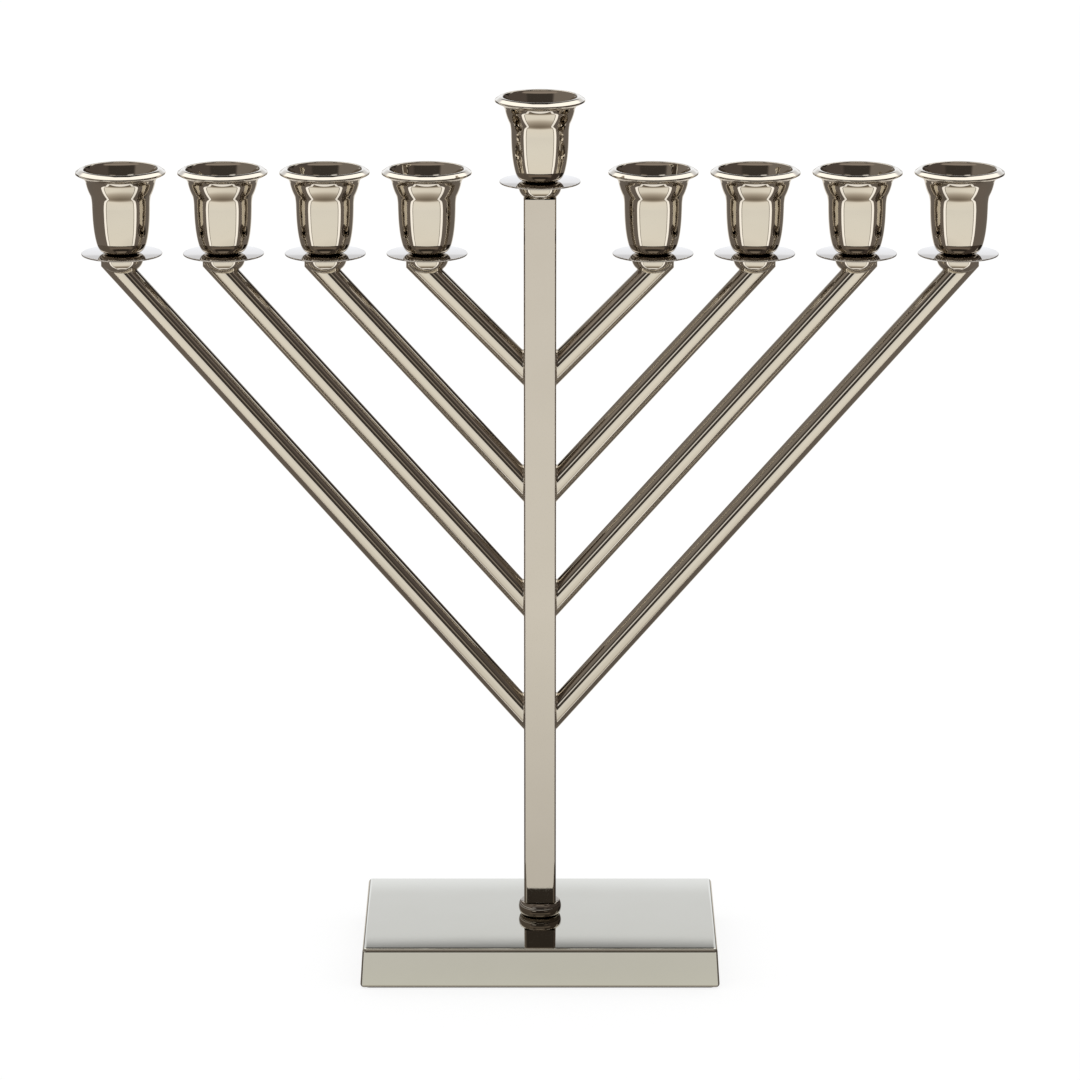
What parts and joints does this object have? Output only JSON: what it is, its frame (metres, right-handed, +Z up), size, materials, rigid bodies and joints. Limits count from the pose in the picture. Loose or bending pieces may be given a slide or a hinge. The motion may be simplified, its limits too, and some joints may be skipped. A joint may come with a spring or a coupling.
{
  "type": "menorah",
  "caption": "Branched candle holder: straight round arms slope up from a square column to a level row of flared cups on drip pans, with a raised centre cup, on a flat felted base.",
  "frame": {"origin": "middle of the felt's underside, on the surface the menorah stands on", "axes": "+X along the row of cups to the menorah's right as seen from the front, +Y to its back, +Z up the column"},
  "size_m": [0.4116, 0.105, 0.3979],
  "materials": {
    "cup_nickel": "bright nickel plate on spun brass",
    "pan_nickel": "bright nickel plate on pressed sheet",
    "bowl_nickel": "bright nickel plate on turned brass",
    "tube_nickel": "bright nickel plate on drawn tube",
    "bead_nickel": "bright nickel plate on turned brass",
    "base_nickel": "bright nickel plate on pressed steel",
    "zinc": "zinc plated",
    "ballast_steel": "mill scale",
    "board": "hardboard",
    "felt": "pressed wool felt"
  },
  "bodies": {
    "stand": {"base_shell": "base_nickel", "ballast_plate": "ballast_steel", "closing_board": "board", "felt_pad": "felt", "base_stud": "zinc", "stud_washer": "zinc", "stud_nut": "zinc", "foot_bead": "bead_nickel", "foot_plug": "zinc", "column": "tube_nickel", "bowl_left_4": "bowl_nickel", "bowl_left_3": "bowl_nickel", "bowl_left_2": "bowl_nickel", "bowl_left_1": "bowl_nickel", "bowl_centre": "bowl_nickel", "bowl_right_1": "bowl_nickel", "bowl_right_2": "bowl_nickel", "bowl_right_3": "bowl_nickel", "bowl_right_4": "bowl_nickel", "arm_left_4": "tube_nickel", "arm_left_3": "tube_nickel", "arm_left_2": "tube_nickel", "arm_left_1": "tube_nickel", "arm_right_1": "tube_nickel", "arm_right_2": "tube_nickel", "arm_right_3": "tube_nickel", "arm_right_4": "tube_nickel"},
    "holder_left_4": {"cup_left_4": "cup_nickel", "drip_pan_left_4": "pan_nickel", "cup_screw_left_4": "zinc"},
    "holder_left_3": {"cup_left_3": "cup_nickel", "drip_pan_left_3": "pan_nickel", "cup_screw_left_3": "zinc"},
    "holder_left_2": {"cup_left_2": "cup_nickel", "drip_pan_left_2": "pan_nickel", "cup_screw_left_2": "zinc"},
    "holder_left_1": {"cup_left_1": "cup_nickel", "drip_pan_left_1": "pan_nickel", "cup_screw_left_1": "zinc"},
    "holder_centre": {"cup_centre": "cup_nickel", "drip_pan_centre": "pan_nickel", "cup_screw_centre": "zinc"},
    "holder_right_1": {"cup_right_1": "cup_nickel", "drip_pan_right_1": "pan_nickel", "cup_screw_right_1": "zinc"},
    "holder_right_2": {"cup_right_2": "cup_nickel", "drip_pan_right_2": "pan_nickel", "cup_screw_right_2": "zinc"},
    "holder_right_3": {"cup_right_3": "cup_nickel", "drip_pan_right_3": "pan_nickel", "cup_screw_right_3": "zinc"},
    "holder_right_4": {"cup_right_4": "cup_nickel", "drip_pan_right_4": "pan_nickel", "cup_screw_right_4": "zinc"}
  },
  "joints": [
    {"name": "lift_left_4", "type": "slide", "parent": "stand", "child": "holder_left_4", "axis": [0, 0, 1], "range_m": [0, 0.05]},
    {"name": "lift_left_3", "type": "slide", "parent": "stand", "child": "holder_left_3", "axis": [0, 0, 1], "range_m": [0, 0.05]},
    {"name": "lift_left_2", "type": "slide", "parent": "stand", "child": "holder_left_2", "axis": [0, 0, 1], "range_m": [0, 0.05]},
    {"name": "lift_left_1", "type": "slide", "parent": "stand", "child": "holder_left_1", "axis": [0, 0, 1], "range_m": [0, 0.05]},
    {"name": "lift_centre", "type": "slide", "parent": "stand", "child": "holder_centre", "axis": [0, 0, 1], "range_m": [0, 0.05]},
    {"name": "lift_right_1", "type": "slide", "parent": "stand", "child": "holder_right_1", "axis": [0, 0, 1], "range_m": [0, 0.05]},
    {"name": "lift_right_2", "type": "slide", "parent": "stand", "child": "holder_right_2", "axis": [0, 0, 1], "range_m": [0, 0.05]},
    {"name": "lift_right_3", "type": "slide", "parent": "stand", "child": "holder_right_3", "axis": [0, 0, 1], "range_m": [0, 0.05]},
    {"name": "lift_right_4", "type": "slide", "parent": "stand", "child": "holder_right_4", "axis": [0, 0, 1], "range_m": [0, 0.05]}
  ]
}
